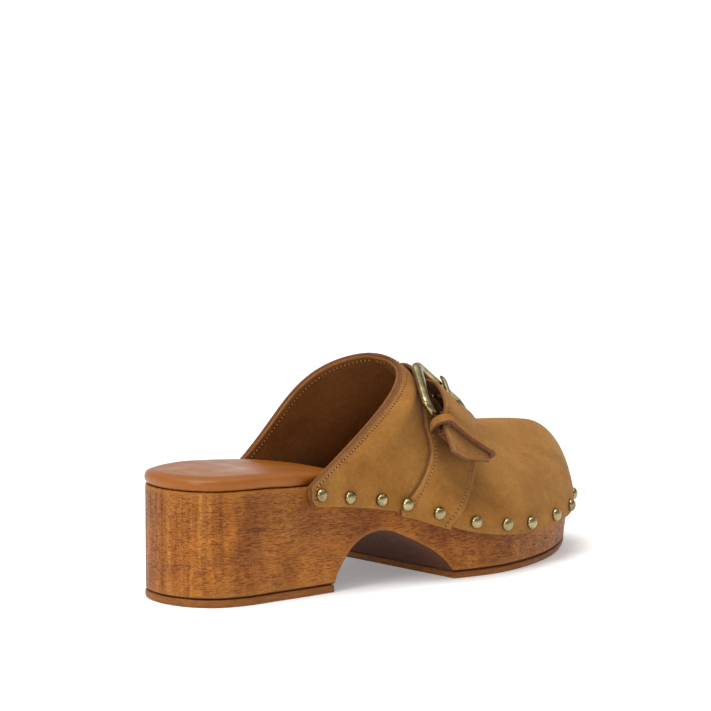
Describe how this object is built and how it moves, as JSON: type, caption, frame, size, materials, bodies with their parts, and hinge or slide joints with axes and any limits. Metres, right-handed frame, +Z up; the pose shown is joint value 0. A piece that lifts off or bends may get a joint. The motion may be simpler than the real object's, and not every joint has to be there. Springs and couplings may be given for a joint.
{
  "type": "wooden clog",
  "caption": "Backless wooden-soled clog: high carved heel with an arch under the waist, studded suede vamp, padded footbed and a buckled instep strap.",
  "frame": {"origin": "centre of the footprint's bounding box, at floor level under the heel and forefoot outsoles", "axes": "+Y from heel to toe, +Z up, +X towards the lateral side, which is the wearer's right: this is a right shoe"},
  "size_m": [0.1017, 0.2512, 0.0995],
  "materials": {
    "sole_wood": "satin",
    "outsole_rubber": "matte",
    "footbed_leather": "satin",
    "footbed_foam": "matte",
    "camel_suede": "matte",
    "lining_suede": "matte",
    "antique_brass": "satin"
  },
  "bodies": {
    "clog": {"wood_sole": "sole_wood", "heel_toplift": "outsole_rubber", "forefoot_outsole": "outsole_rubber", "footbed_cover": "footbed_leather", "footbed_foam": "footbed_foam", "vamp_upper": "camel_suede", "vamp_lining": "lining_suede", "lateral_strap": "camel_suede", "medial_strap": "camel_suede", "strap_keeper": "camel_suede", "buckle_chape": "camel_suede", "stud_01": "antique_brass", "stud_02": "antique_brass", "stud_03": "antique_brass", "stud_04": "antique_brass", "stud_05": "antique_brass", "stud_06": "antique_brass", "stud_07": "antique_brass", "stud_08": "antique_brass", "stud_09": "antique_brass", "stud_10": "antique_brass", "stud_11": "antique_brass", "stud_12": "antique_brass", "stud_13": "antique_brass", "stud_14": "antique_brass", "stud_15": "antique_brass", "stud_16": "antique_brass", "stud_17": "antique_brass", "stud_18": "antique_brass", "stud_19": "antique_brass", "stud_20": "antique_brass", "stud_21": "antique_brass", "stud_22": "antique_brass"},
    "frame": {"buckle_frame": "antique_brass"},
    "prong": {"buckle_prong": "antique_brass"}
  },
  "joints": [
    {"name": "buckle_swing", "type": "hinge", "parent": "clog", "child": "frame", "pos_m": [0.03504, 0.01331, 0.06784], "axis": [0, 0.8, -0.6], "range_deg": [0, 4]},
    {"name": "prong_lift", "type": "hinge", "parent": "frame", "child": "prong", "pos_m": [0.03504, 0.01331, 0.06784], "axis": [0, 0.8, -0.6], "range_deg": [0, 3]}
  ]
}
